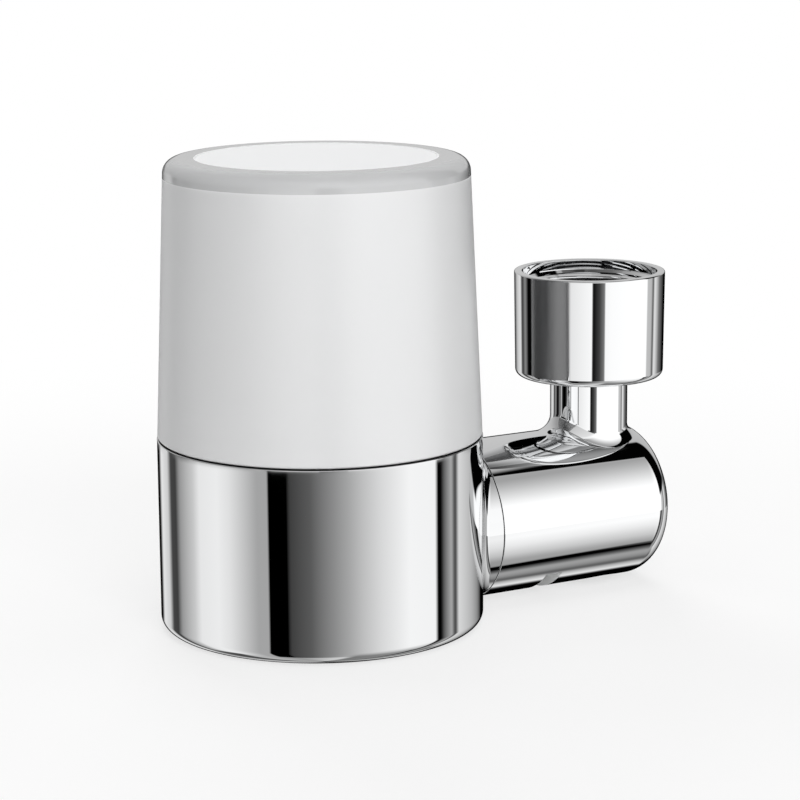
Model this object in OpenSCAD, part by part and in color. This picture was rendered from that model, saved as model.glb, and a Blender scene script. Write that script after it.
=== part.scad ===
// Tap filter: a round chrome base under a frosted cartridge cover, fed by a level chrome tube
// whose neck carries a swivel nut. A rotary drum in the tube sends water to the cartridge or
// straight down. The bare front faces -Y, the tube runs along +Y, and the foot stands at Z = 0.

/* [Base] */
// Outer radius of the chrome base
base_r = 35; // [33:0.5:37]
// Height of the base's shoulder above the tube
shoulder_h = 6; // [5:0.25:10]
// Wall of the chrome base
base_wall = 2.4; // [2:0.1:3]
// Radius of the rounded lower edge of the base
base_edge_r = 2.5; // [1.5:0.25:3]
// Radial width of the thick ring above the foot
foot_wall = 4.4; // [4:0.2:5]
// Height of the thick ring above the foot
foot_ring_h = 6; // [6:0.5:7]
// How far the tube boss stands out past the base
boss_reach = 0.7; // [0.5:0.1:3]
// Radius of the blend between the base and its tube boss
boss_fillet_r = 3.5; // [2:0.25:4]
// Gap of the joint line between boss and tube
joint_gap = 0.2; // [0.1:0.05:0.4]

/* [Underside] */
// Thickness of the plate that closes the underside
plate_h = 2.5; // [2:0.25:3]
// Height of the plate above the foot
plate_z = 3.2; // [2.5:0.1:3.4]
// Number of plate screws
plate_screws_n = 3; // [3, 6]
// Distance of the plate screws from the plate's edge
screw_inset = 4.6; // [4.2:0.1:5.5]
// Radius of a plate screw's shank
screw_r = 1.35; // [1.2:0.05:1.5]
// Radius of a plate screw's head
screw_head_r = 2.6; // [2.4:0.1:3]
// Length of a plate screw under its head
screw_len = 9; // [7:0.5:11]
// Outer radius of the filtered water outlet
outlet_r = 13.8; // [13:0.2:15]
// Wall of the filtered water outlet
outlet_wall = 2.8; // [2:0.1:3.5]
// Height of the outlet's lower edge above the foot
outlet_z = 1.4; // [1:0.1:2]
// Gap between the outlet's top and the duct above it
outlet_gap = 0.2; // [0.15:0.05:0.4]

/* [Cover] */
// Height of the frosted cover above its seam
cover_h = 59.6; // [57:0.5:66]
// How far the cover's lower edge stands in from the base
cover_inset = 0.1; // [0:0.05:0.5]
// How much the cover's radius shrinks towards its top
cover_taper = 2.5; // [1:0.1:3.5]
// Radius of the cover's top edge
cover_edge_r = 3.1; // [2:0.1:4]
// Wall of the cover
cover_wall = 2.6; // [2:0.1:3]
// Thickness of the clear roof of the cover
cover_roof = 5; // [4:0.25:6]
// Gap of the seam between base and cover
seam_gap = 0.3; // [0.3:0.05:0.5]
// Wall of the manifold's rim, between the base and the cover's spigot
rim_wall = 2.28; // [1.8:0.02:2.6]
// Wall of the spigot under the cover
spigot_wall = 2; // [1.6:0.1:2.2]
// How far the spigot reaches down into the base
spigot_reach = 3.8; // [3.4:0.1:4]

/* [Tube] */
// Outer radius of the level tube
tube_r = 17.5; // [17:0.25:17.75]
// Wall of the level tube
tube_wall = 2.4; // [2:0.1:2.6]
// Height of the tube's underside above the foot
tube_lift = 0.3; // [0.2:0.1:1]
// Length of the tube from the base's side to its far end
tube_len = 47; // [46:0.5:54]
// Radius of the tube's rounded far edge
tube_end_r = 6.4; // [4:0.2:7]
// Thickness of the wall that closes the tube's far end
tube_end_wall = 4; // [3.5:0.1:5]
// Distance from the base's side to the middle of the lever slot
slot_reach = 16.6; // [16.4:0.1:17.2]
// Width of the lever slot along the tube
slot_w = 4.2; // [4:0.1:4.6]
// Near end of the lever slot, in degrees below level
slot_near_end = 42; // [40:1:46]

/* [Neck] */
// Distance from the neck's axis to the tube's far end
neck_inset = 13; // [12.4:0.1:14]
// Outer radius of the neck
neck_r = 8.75; // [8:0.25:9]
// Radius of the water bore in the neck
neck_bore_r = 5; // [4:0.25:5]
// Radius of the blend at the neck's foot
neck_fillet_r = 4; // [2.5:0.25:4.5]
// Radius of the same blend on its far side
neck_far_fillet_r = 1.8; // [1.2:0.1:2.5]
// Length of the neck that shows between the tube's top and the nut
neck_len = 12; // [10:0.5:18]

/* [Nut] */
// Wall of the nut round its smooth mouth
nut_wall = 1.8; // [1.4:0.1:2.6]
// How much the nut's radius shrinks towards its foot
nut_draft = 0.25; // [0:0.05:0.5]
// Height of the nut
nut_h = 23.9; // [22:0.1:28]
// Radius of the nut's rounded lower edge
nut_edge_r = 1.6; // [1:0.1:2.2]
// Thickness of the nut's floor
nut_floor = 2.6; // [2:0.1:3]
// Radius of the nut's thread, measured at its crests
thread_r = 13.45; // [12:0.05:15]
// How much wider than the thread the mouth is, in radius
mouth_step = 1.7; // [1.3:0.1:2]
// Depth of the smooth mouth above the thread
mouth_depth = 2.2; // [1.5:0.1:3]
// Running gap between the nut and the neck
nut_gap = 0.25; // [0.2:0.05:0.4]
// Thickness of the collar that holds the nut on the neck
collar_h = 2.4; // [2:0.1:3]
// Thickness of the rubber washer on the collar
washer_h = 2.6; // [2:0.1:3]
// Radius of the hole in the rubber washer
washer_hole_r = 6.6; // [6.2:0.1:7.5]

/* [Diverter] */
// Gap between the drum and the tube's bore
drum_gap = 0.2; // [0.15:0.05:0.3]
// Wall of the drum round its water space
drum_wall = 5.4; // [4.8:0.1:6]
// Thickness of the drum's two end walls
drum_web = 3; // [2.5:0.1:3.2]
// Width of the inlet window in the drum
window_w = 10; // [10:0.5:11]
// Angle that the lever turns through
lever_turn = 120; // [100:5:120]
// Where the lever rests, in degrees below the near side
lever_rest = 185; // [180:1:190]
// Width of the lever's arm across the slot's length
arm_w = 6; // [5:0.25:7]
// Clearance of the lever's arm to each side of the slot
arm_gap = 0.35; // [0.3:0.05:0.4]
// Length of the paddle, from its root to its tip
paddle_len = 12.6; // [11:0.2:15]
// Length of the paddle along the tube
paddle_w = 14; // [12:0.5:16]
// Thickness of the paddle at its root
paddle_t = 7; // [6:0.25:8]
// Gap between the paddle and the tube
paddle_gap = 0.9; // [0.6:0.1:1.5]
// Thickness of the fixed ceramic port disc
port_disc_h = 3.2; // [3:0.1:3.2]
// Opening angle of the kidney ports
port_angle = 70; // [50:5:80]

/* [Cartridge] */
// Water gap between the cartridge and the top of the cover's wall
cartridge_gap = 4.8; // [4.2:0.1:6]
// Free height between the cartridge's hoop and the clear roof
hoop_gap = 1.3; // [0.8:0.1:3]
// Height of the hoop that the cartridge is pulled out by
hoop_h = 3.5; // [3:0.25:5]
// Radius of the hole through the carbon block
block_bore_r = 8; // [7.5:0.25:9]
// Thickness of the fleece sleeve
fleece_t = 0.8; // [0.6:0.1:1.2]
// Thickness of the cartridge's end caps
end_cap_h = 3; // [2.5:0.25:3.5]
// Height of the feet under the cartridge
feet_h = 2; // [1.8:0.1:2.2]
// Outer radius of the cartridge's outlet spigot
cartridge_spigot_r = 6; // [5.5:0.1:6.2]
// Wall of the perforated core tube
core_wall = 1.6; // [1.2:0.1:1.8]
// Rows of holes in the core tube
core_rows = 5; // [3:1:6]

/* [Fits] */
// Clearance between pieces that seat in each other
seat = 0.12; // [0.1:0.01:0.15]
// Thickness of a rubber ring's section
ring_t = 1.8; // [1.6:0.1:1.9]
// Gap between a rubber ring and the wall it slides on
ring_gap = 0.1; // [0.08:0.01:0.12]
// Running gap between a seal's groove and the ring in it, along the groove
groove_gap = 0.3; // [0.2:0.05:0.4]

/* [Hidden] */

$fn = 96;
chrome_colour = "#c8ccd0";
white_colour = "#f0f1ef";
rubber_colour = "#1e1e20";
steel_colour = "#a9adb2";
cover_colour = "#e9eef2";
over = 1; // how far a cutter runs past the face it opens

// Base
tube_axis_z = tube_lift + tube_r;
base_h = tube_axis_z + tube_r + shoulder_h;
base_in_r = base_r - base_wall;
foot_in_r = base_r - foot_wall;
plate_screw_circle_r = foot_in_r - screw_inset;
outlet_mouth_r = outlet_r - outlet_wall;
boss_start_y = base_in_r * cos(asin(min(1, tube_r / base_in_r))) - over;
boss_face_y = base_r + boss_reach;
tube_face_y = boss_face_y + joint_gap;
tube_bore_r = tube_r - tube_wall;

// Manifold: its floor lies just above the tube's bore
manifold_clear = 0.5; // above the tube's bore
manifold_floor_z = tube_axis_z + tube_bore_r + manifold_clear;
manifold_floor_h = 3;
manifold_deck_z = manifold_floor_z + manifold_floor_h;
manifold_top_z = base_h - 0.4;
manifold_r = base_in_r - seat;
manifold_rim_r = manifold_r - rim_wall;
spigot_gap = 0.3;
spigot_r = manifold_rim_r - spigot_gap;
socket_wall = 2.3;
socket_gap = 0.3;
socket_r = cartridge_spigot_r + socket_gap;
socket_ring_z = 1.3; // of the spigot's seal below the deck
socket_outer_r = socket_r + socket_wall;
socket_step = 1.3; // by which the drain under the socket is narrower
socket_lift = 0.2; // of the drain's lower end above the plate
socket_foot_z = plate_z + plate_h + socket_lift;
duct_wall = 2.8;
duct_step = 4.5; // by which the duct is thinner than the tube's bore
duct_r = tube_bore_r - duct_step;
duct_bore_r = duct_r - duct_wall;
riser_r = 6.9;
riser_bore_r = 4.8;
riser_inset = 2.2; // from the foot ring's inner face
duct_margin = 0.3; // of the duct past the riser's near side
riser_y = foot_in_r - riser_r - riser_inset;
duct_start_y = riser_y - riser_r - duct_margin;
duct_reach = 3; // of the duct past the foot ring's inner face
duct_end_y = foot_in_r + duct_reach;
post_r = 4;
head_h = 1.7;
head_sink = 1; // of a screw's head in the plate
hex_r = 1.2;
post_foot_z = plate_z + plate_h + seat;

// Tube and diverter, from the base outwards
tube_end_y = base_r + tube_len;
neck_y = tube_end_y - neck_inset;
slot_y = base_r + slot_reach;
sleeve_r = tube_bore_r - seat;
sleeve_bore_r = duct_r + seat;
sleeve_start_y = foot_in_r + 2 * seat;
sleeve_ring_inset = 3;
sleeve_ring_y = [boss_face_y - sleeve_ring_inset, tube_face_y + sleeve_ring_inset];
sleeve_tail = 6.6; // that reaches past the boss into the tube
disc_start_y = boss_face_y + sleeve_tail;
drum_start_y = disc_start_y + port_disc_h + drum_gap;
tube_bore_end_y = tube_end_y - tube_end_wall;
drum_end_y = tube_bore_end_y - drum_gap;
drum_r = tube_bore_r - drum_gap;
drum_bore_r = drum_r - drum_wall;
drum_ring_y = [
    (drum_start_y + slot_y - slot_w / 2) / 2,
    (slot_y + slot_w / 2 + neck_y - window_w / 2) / 2,
    drum_end_y - 1.8
];
groove_w = ring_t + groove_gap;
raw_hole_r = 7;
raw_spray_r = 0.9;
drum_port_r = 5;
arm_t = slot_w - 2 * arm_gap;
arm_depth = 2.4; // of the arm's seat in the drum
arm_root_r = drum_r - arm_depth;
arm_half_angle = atan(arm_w / 2 / tube_bore_r) + 3;
slot_far_end = lever_rest + arm_half_angle;
kidney_w = 3.6;
kidney_out_r = drum_bore_r - 0.7;
kidney_in_r = kidney_out_r - kidney_w;
paddle_root_r = tube_r + paddle_gap;
paddle_tip_r = paddle_root_r + paddle_len;

// Nut and neck
nut_z = tube_axis_z + tube_r + neck_len;
mouth_r = thread_r + mouth_step;
nut_rim_r = mouth_r + nut_wall;
nut_foot_r = nut_rim_r - nut_draft;
nut_chamfer = 0.4;
lead_in = 1.2; // cone that leads the tap's thread in
nut_floor_z = nut_z + nut_floor;
nut_rim_z = nut_z + nut_h;
collar_z = nut_floor_z + 0.3;
collar_r = thread_r - 0.5;
neck_step = 1.2; // by which the neck's tip is thinner
neck_tip_r = neck_r - neck_step;
washer_z = collar_z + collar_h + 0.05;
relief_depth = 0.45; // of the thread's run-out groove round collar and washer
relief_z = washer_z + washer_h + 0.3;
screen_h = 0.8;
regulator_h = 1.6;
regulator_gap = 0.4; // under the drain
regulator_hole_r = 0.8;
screen_hole_r = 0.7;

// Cartridge and cover
cover_z = base_h + seam_gap;
cover_top_z = cover_z + cover_h;
cover_roof_z = cover_top_z - cover_roof;
cover_foot_r = base_r - cover_inset;
cover_top_r = cover_foot_r - cover_taper;
cartridge_r = cover_top_r - cover_wall - cartridge_gap;
cartridge_z = manifold_deck_z + feet_h;
block_z = cartridge_z + end_cap_h;
cap_z = cover_roof_z - hoop_gap - hoop_h - end_cap_h;
block_h = cap_z - block_z;
foot_inset = 2; // of the cartridge's feet from its edge
foot_len = 10;
foot_w = 2.4;
spigot_ring_wall = 2.6;
core_gap = 0.2;
core_hole_r = 1.4;
cap_dish = 1.4;
hoop_r = 9;
hoop_t = 2.4;
hoop_wall = 4;
cover_slope = (cover_top_r - cover_foot_r) / cover_h;
spigot_foot_z = cover_z - spigot_reach;
spigot_ring_z = 1.9; // of the seal above the spigot's foot
cover_step_z = 2; // where the spigot's bore starts to widen to the cover's
cover_widening_h = 2.5;

// Steps of the two blends
blend_steps = 48;
blend_arc = 8;
blend_bite = 0.06; // how far a blend's ball sinks into each wall, so that the faces cross
blend_root = 1.2; // how far a blend's root lies inside each wall
blend_least_r = 0.25; // where the base's rounded edge leaves no room

function unit(v) = v / norm(v);
function slerp(a, b, s) = let (w = acos(a * b)) (sin((1 - s) * w) * a + sin(s * w) * b) / sin(w);

// One section of a blend: the ball's arc from contact a to contact b, then back through the root.
function blend_section(centre, r, a, b, root) = concat(
    [for (i = [0:blend_arc]) centre + r * slerp(a, b, i / blend_arc)],
    [centre + (r + blend_root) * b, root, centre + (r + blend_root) * a]);

// Triangles that join closed rings of n points, and the ring of rings m, into a ring-shaped solid.
function ring_faces(n, m) = [
    for (i = [0:m - 1]) for (j = [0:n - 1])
        let (a = i * n + j, b = i * n + (j + 1) % n,
            c = ((i + 1) % m) * n + (j + 1) % n, d = ((i + 1) % m) * n + j)
        each [[a, b, c], [a, c, d]]];

// Radius of the tube's outer face at distance y from the base's axis.
tube_bend_y = tube_end_y - tube_end_r;
function tube_face_r(y) = y <= tube_bend_y ? tube_r
    : tube_r - tube_end_r + sqrt(tube_end_r ^ 2 - (y - tube_bend_y) ^ 2);

// Neck blend: a ball rolls round the neck and along the tube, and over its rounded far edge.
function neck_ball_r(t) = let (w = max(0, sin(t)) ^ 2) neck_fillet_r * (1 - w) + neck_far_fillet_r * w;
function neck_section(t) = let (
    r = neck_ball_r(t),
    reach = neck_r + r - blend_bite,
    x = reach * cos(t),
    y = neck_y + reach * sin(t),
    rho = y <= tube_bend_y ? tube_r + r - blend_bite
        : tube_r - tube_end_r + sqrt((tube_end_r + r - blend_bite) ^ 2 - (y - tube_bend_y) ^ 2),
    rise = sqrt(rho ^ 2 - x ^ 2),
    centre = [x, y, tube_axis_z + rise],
    seat_r = y <= tube_bend_y ? 0 : tube_r - tube_end_r,
    seat_y = y <= tube_bend_y ? y : tube_bend_y,
    towards = [seat_r * x / rho, seat_y, tube_axis_z + seat_r * rise / rho],
    root_r = neck_r - blend_root,
    root_x = root_r * cos(t),
    root_y = neck_y + root_r * sin(t),
    root_z = tube_axis_z + sqrt(tube_face_r(root_y) ^ 2 - root_x ^ 2) - blend_root)
    blend_section(centre, r, [-cos(t), -sin(t), 0], unit(towards - centre), [root_x, root_y, root_z]);

// Boss blend: a ball rolls round the tube's boss against the round base. It shrinks where the
// boss face or the rounded lower edge of the base leaves less room.
function boss_room_r(t) = let (
    a = sin(t) ^ 2, b = base_r - tube_r * cos(t) ^ 2,
    c = base_r ^ 2 - (tube_r * cos(t)) ^ 2 - (boss_face_y - 0.1) ^ 2)
    -c / (b + sqrt(b ^ 2 - a * c));
function boss_foot_r(t) = sin(t) >= 0 ? boss_fillet_r
    : max(blend_least_r, (tube_axis_z - base_edge_r) / -sin(t) - tube_r);
function boss_ball_r(t) = min(boss_fillet_r, boss_room_r(t), boss_foot_r(t));
function boss_section(t) = let (
    r = boss_ball_r(t),
    reach = tube_r + r - blend_bite,
    x = reach * cos(t),
    y = sqrt((base_r + r - blend_bite) ^ 2 - x ^ 2),
    centre = [x, y, tube_axis_z + reach * sin(t)],
    root_r = tube_r - blend_root,
    root = [root_r * cos(t), sqrt(base_r ^ 2 - (tube_r * cos(t)) ^ 2) - blend_root,
        tube_axis_z + root_r * sin(t)])
    blend_section(centre, r, [-cos(t), 0, -sin(t)], unit([-x, -y, 0]), root);

module blend(sections) {
    polyhedron([for (s = sections) each s], ring_faces(len(sections[0]), len(sections)));
}

// Lays what stands on Z = 0 along the tube, starting at distance y. An angle measured there
// from local +X runs downwards from the near side.
module along_tube(y) {
    translate([0, y, tube_axis_z]) rotate([-90, 0, 0]) children();
}

module ring(in_r, out_r, h) {
    difference() {
        cylinder(r = out_r, h = h);
        translate([0, 0, -over]) cylinder(r = in_r, h = h + 2 * over);
    }
}

// A rubber ring that fills its groove and ends just short of the wall it seals against.
module seal_ring(wall_r) {
    rotate_extrude() translate([wall_r - ring_gap - ring_t / 2, 0]) circle(d = ring_t, $fn = 24);
}

module groove(wall_r) {
    translate([0, 0, -groove_w / 2]) ring(wall_r - ring_gap - ring_t, wall_r + over, groove_w);
}

module on_screw_circle() {
    for (i = [0:plate_screws_n - 1])
        rotate([0, 0, 30 + i * 360 / plate_screws_n]) translate([plate_screw_circle_r, 0, 0]) children();
}

// A disc with a middle hole and rings of holes round it.
module sieve(disc_r, h, hole_r, rings, pitch) {
    difference() {
        cylinder(r = disc_r, h = h);
        translate([0, 0, -over]) cylinder(r = hole_r, h = h + 2 * over, $fn = 16);
        for (k = [1:rings]) for (i = [0:6 * k - 1])
            rotate([0, 0, i * 60 / k]) translate([k * pitch, 0, -over])
                cylinder(r = hole_r, h = h + 2 * over, $fn = 16);
    }
}

module base_body_profile() {
    translate([0, base_edge_r]) square([base_r, base_h - base_edge_r]);
    square([base_r - base_edge_r, base_edge_r]);
    translate([base_r - base_edge_r, base_edge_r]) circle(r = base_edge_r);
}

module base_shell() {
    color(chrome_colour) difference() {
        union() {
            rotate_extrude() intersection() {
                base_body_profile();
                square([base_r + over, base_h]);
            }
            along_tube(boss_start_y) cylinder(r = tube_r, h = boss_face_y - boss_start_y);
            blend([for (i = [0:blend_steps - 1]) boss_section(i * 360 / blend_steps)]);
        }
        translate([0, 0, foot_ring_h]) cylinder(r = base_in_r, h = base_h);
        translate([0, 0, -over]) cylinder(r = foot_in_r, h = base_h);
        along_tube(duct_start_y) cylinder(r = tube_bore_r, h = boss_face_y);
    }
}

module manifold() {
    color(white_colour) difference() {
        union() {
            translate([0, 0, manifold_floor_z]) cylinder(r = manifold_r, h = manifold_top_z - manifold_floor_z);
            translate([0, 0, socket_foot_z])
                cylinder(r = socket_outer_r, h = manifold_deck_z - socket_foot_z);
            translate([0, riser_y, tube_axis_z]) cylinder(r = riser_r, h = manifold_deck_z - tube_axis_z);
            along_tube(duct_start_y) cylinder(r = duct_r, h = duct_end_y - duct_start_y);
            on_screw_circle() translate([0, 0, post_foot_z])
                cylinder(r = post_r, h = manifold_deck_z - post_foot_z);
        }
        translate([0, 0, manifold_deck_z]) cylinder(r = manifold_rim_r, h = base_h);
        translate([0, 0, manifold_floor_z]) cylinder(r = socket_r, h = base_h);
        translate([0, 0, socket_foot_z - over]) cylinder(r = socket_r - socket_step, h = base_h);
        translate([0, riser_y, tube_axis_z]) cylinder(r = riser_bore_r, h = base_h);
        along_tube(duct_start_y + duct_wall) cylinder(r = duct_bore_r, h = duct_end_y);
        on_screw_circle() translate([0, 0, post_foot_z - over]) cylinder(r = screw_r + 0.05, h = screw_len + over);
    }
}

module base_plate() {
    color(white_colour) translate([0, 0, plate_z]) difference() {
        cylinder(r = foot_in_r - seat, h = plate_h);
        translate([0, 0, -over]) cylinder(r = outlet_r + seat, h = plate_h + 2 * over);
        on_screw_circle() translate([0, 0, -over]) cylinder(r = screw_r + seat, h = plate_h + 2 * over);
        on_screw_circle() translate([0, 0, -over]) cylinder(r = screw_head_r + seat, h = over + head_sink);
    }
}

module plate_screws() {
    head_z = plate_z + head_sink - head_h;
    color(steel_colour) on_screw_circle() {
        difference() {
            translate([0, 0, head_z]) cylinder(r = screw_head_r, h = head_h);
            translate([0, 0, head_z - over]) cylinder(r = hex_r, h = over + head_h / 2, $fn = 6);
        }
        translate([0, 0, plate_z + head_sink - 0.1]) cylinder(r = screw_r, h = screw_len);
    }
}

// The filtered water outlet: a cup that closes round the manifold's socket tube.
module outlet_nozzle() {
    nozzle_top_z = tube_axis_z - duct_r - outlet_gap;
    flange_w = 1.4;
    flange_h = 1;
    nozzle_roof = 1.4;
    lip = 1; // height of the cone at the outlet's lower edge
    color(chrome_colour) difference() {
        union() {
            translate([0, 0, outlet_z + lip]) cylinder(r = outlet_r, h = nozzle_top_z - outlet_z - lip);
            translate([0, 0, outlet_z]) cylinder(r1 = outlet_r - lip, r2 = outlet_r, h = lip);
            translate([0, 0, plate_z + plate_h + seat]) cylinder(r = outlet_r + flange_w, h = flange_h);
        }
        translate([0, 0, outlet_z - over])
            cylinder(r = outlet_mouth_r, h = nozzle_top_z - outlet_z - nozzle_roof + over);
        translate([0, 0, outlet_z]) cylinder(r = socket_outer_r + seat, h = base_h);
    }
}

module flow_regulator() {
    color(white_colour) translate([0, 0, socket_foot_z - regulator_gap - regulator_h])
        sieve(outlet_mouth_r - seat, regulator_h, regulator_hole_r, 2, outlet_mouth_r / 3.2);
}

module outlet_screen() {
    color(steel_colour) translate([0, 0, outlet_z + screen_h])
        sieve(outlet_mouth_r - seat, screen_h, screen_hole_r, 3, outlet_mouth_r / 3.8);
}

module coupling_sleeve() {
    sleeve_len = disc_start_y - seat - sleeve_start_y;
    color(white_colour) along_tube(sleeve_start_y) difference() {
        ring(sleeve_bore_r, sleeve_r, sleeve_len);
        for (y = sleeve_ring_y) translate([0, 0, y - sleeve_start_y]) groove(tube_bore_r);
    }
}

module sleeve_seals() {
    color(rubber_colour) for (y = sleeve_ring_y) along_tube(y) seal_ring(tube_bore_r);
}

// A kidney-shaped port, centred at the given angle below the near side.
module kidney(at, h) {
    rotate([0, 0, at - port_angle / 2]) translate([0, 0, -over]) rotate_extrude(angle = port_angle)
        translate([kidney_in_r, 0]) square([kidney_out_r - kidney_in_r, h + 2 * over]);
}

module port_disc() {
    color("#e6e2da") along_tube(disc_start_y) difference() {
        cylinder(r = tube_bore_r - seat, h = port_disc_h);
        kidney(90, port_disc_h);
    }
}

// The chrome tube: domed at its far end, blended into the neck, and slotted for the lever.
module tube_shell() {
    color(chrome_colour) difference() {
        union() {
            along_tube(tube_face_y) rotate_extrude() intersection() {
                union() {
                    square([tube_r, tube_bend_y - tube_face_y]);
                    square([tube_r - tube_end_r, tube_end_y - tube_face_y]);
                    translate([tube_r - tube_end_r, tube_bend_y - tube_face_y]) circle(r = tube_end_r);
                }
                square([tube_r + over, tube_end_y]);
            }
            translate([0, neck_y, tube_axis_z]) cylinder(r = neck_r, h = nut_floor_z + 0.2 - tube_axis_z);
            translate([0, neck_y, tube_axis_z]) cylinder(r = neck_tip_r, h = collar_z + collar_h - tube_axis_z);
            blend([for (i = [0:blend_steps - 1]) neck_section(i * 360 / blend_steps)]);
        }
        along_tube(tube_face_y - over) cylinder(r = tube_bore_r, h = tube_bore_end_y - tube_face_y + over);
        translate([0, neck_y, tube_axis_z]) cylinder(r = neck_bore_r, h = 2 * nut_rim_z);
        translate([0, neck_y, -over]) cylinder(r = raw_hole_r, h = tube_axis_z);
        along_tube(slot_y - slot_w / 2) rotate([0, 0, slot_near_end])
            rotate_extrude(angle = slot_far_end - slot_near_end)
                translate([tube_bore_r - over, 0]) square([tube_wall + 2 * over, slot_w]);
    }
}

// The spray face in the tube's underside, for water that isn't filtered.
module raw_outlet() {
    color(white_colour) difference() {
        intersection() {
            translate([0, neck_y, 0]) cylinder(r = raw_hole_r - seat, h = tube_axis_z);
            along_tube(neck_y - 2 * raw_hole_r) ring(tube_bore_r + 0.1, tube_r - 0.2, 4 * raw_hole_r);
        }
        translate([0, neck_y, -over]) {
            cylinder(r = raw_spray_r, h = tube_axis_z, $fn = 16);
            for (k = [1, 2]) for (i = [0:6 * k - 1]) rotate([0, 0, i * 60 / k])
                translate([k * raw_hole_r / 2.9, 0, 0]) cylinder(r = raw_spray_r, h = tube_axis_z, $fn = 16);
        }
    }
}

// The drum that the lever turns: a kidney port towards the base, an inlet window under the
// neck that stays open over the whole turn, and a side port for the spray face.
module diverter_drum() {
    drum_len = drum_end_y - drum_start_y;
    upright = 270;
    window_margin = 4;
    window_end = upright + asin(neck_bore_r / drum_r) + window_margin;
    window_start = upright - asin(neck_bore_r / drum_r) - window_margin;
    color(white_colour) difference() {
        along_tube(drum_start_y) difference() {
            cylinder(r = drum_r, h = drum_len);
            translate([0, 0, drum_web]) cylinder(r = drum_bore_r, h = drum_len - 2 * drum_web);
            kidney(90, drum_web);
            for (y = drum_ring_y) translate([0, 0, y - drum_start_y]) groove(tube_bore_r);
            translate([0, 0, neck_y - window_w / 2 - drum_start_y]) rotate([0, 0, window_start])
                rotate_extrude(angle = window_end - window_start + lever_turn)
                    translate([drum_bore_r - over, 0]) square([drum_r - drum_bore_r + 2 * over, window_w]);
            translate([0, 0, neck_y - drum_start_y]) rotate([0, 0, 90 + lever_turn]) rotate([0, 90, 0])
                cylinder(r = drum_port_r, h = drum_r + over);
        }
        arm_socket();
    }
}

// Places a child whose +X points out along the lever, at rest.
module at_lever() {
    along_tube(slot_y) rotate([0, 0, lever_rest]) children();
}

module arm_socket() {
    at_lever() translate([arm_root_r, -arm_w / 2 - 0.1, -arm_t / 2 - 0.1])
        cube([tube_r, arm_w + 0.2, arm_t + 0.2]);
}

module drum_seals() {
    color(rubber_colour) for (y = drum_ring_y) along_tube(y) seal_ring(tube_bore_r);
}

// The lever: an arm through the slot and a paddle that tapers to a rounded tip, with grip ribs.
module diverter_lever() {
    tip_t = paddle_t / 2;
    corner_r = 4;
    rib_r = 0.5;
    rib_gap = paddle_len / 5;
    rib_lean = (paddle_t - tip_t) / 2 / paddle_len;
    root_r = paddle_root_r;
    color(chrome_colour) at_lever() {
        translate([arm_root_r + 0.15, -arm_w / 2, -arm_t / 2])
            cube([root_r - arm_root_r + over, arm_w, arm_t]);
        difference() {
            intersection() {
                translate([0, 0, -paddle_w / 2]) linear_extrude(paddle_w) union() {
                    polygon([[root_r, -paddle_t / 2], [paddle_tip_r - tip_t / 2, -tip_t / 2],
                        [paddle_tip_r - tip_t / 2, tip_t / 2], [root_r, paddle_t / 2]]);
                    translate([paddle_tip_r - tip_t / 2, 0]) circle(d = tip_t);
                }
                union() {
                    translate([root_r, 0, 0]) rotate([90, 0, 0])
                        cylinder(r = paddle_w / 2, h = 2 * paddle_t, center = true);
                    translate([root_r, -paddle_t, -paddle_w / 2])
                        cube([paddle_len - corner_r, 2 * paddle_t, paddle_w]);
                    for (s = [-1, 1])
                        translate([paddle_tip_r - corner_r, 0, s * (paddle_w / 2 - corner_r)])
                            rotate([90, 0, 0]) cylinder(r = corner_r, h = 2 * paddle_t, center = true);
                    translate([root_r, -paddle_t, -paddle_w / 2 + corner_r])
                        cube([paddle_len, 2 * paddle_t, paddle_w - 2 * corner_r]);
                }
            }
            for (i = [2:4]) for (s = [-1, 1])
                translate([root_r + i * rib_gap, s * (paddle_t / 2 - i * rib_gap * rib_lean + rib_r / 2), 0])
                    cylinder(r = rib_r, h = paddle_w - corner_r, center = true, $fn = 16);
        }
    }
}

module swivel_collar() {
    color(white_colour) translate([0, neck_y, collar_z]) ring(neck_tip_r + seat, collar_r, collar_h);
}

module connector_nut() {
    color(chrome_colour) translate([0, neck_y, nut_z]) difference() {
        rotate_extrude() union() {
            polygon([[0, 0], [nut_foot_r - nut_edge_r, 0], [nut_foot_r - nut_edge_r, nut_edge_r],
                [nut_foot_r, nut_edge_r], [nut_rim_r, nut_h - nut_chamfer],
                [nut_rim_r - nut_chamfer, nut_h], [0, nut_h]]);
            intersection() {
                translate([nut_foot_r - nut_edge_r, nut_edge_r]) circle(r = nut_edge_r);
                square([nut_foot_r, nut_edge_r]);
            }
        }
        translate([0, 0, -over]) cylinder(r = neck_r + nut_gap, h = nut_h);
        translate([0, 0, nut_floor]) cylinder(r = thread_r + relief_depth, h = relief_z - nut_floor_z);
        translate([0, 0, nut_floor]) cylinder(r = thread_r, h = nut_h);
        translate([0, 0, nut_h - mouth_depth]) cylinder(r = mouth_r, h = nut_h);
        translate([0, 0, nut_h - mouth_depth - lead_in])
            cylinder(r1 = thread_r, r2 = thread_r + lead_in, h = lead_in + 0.01);
    }
}

module connector_washer() {
    color(rubber_colour) translate([0, neck_y, washer_z]) ring(washer_hole_r, collar_r, washer_h);
}

module inlet_screen() {
    color(steel_colour) translate([0, neck_y, washer_z + 0.2])
        sieve(washer_hole_r - seat, screen_h, screen_hole_r, 2, washer_hole_r / 2.9);
}

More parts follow.
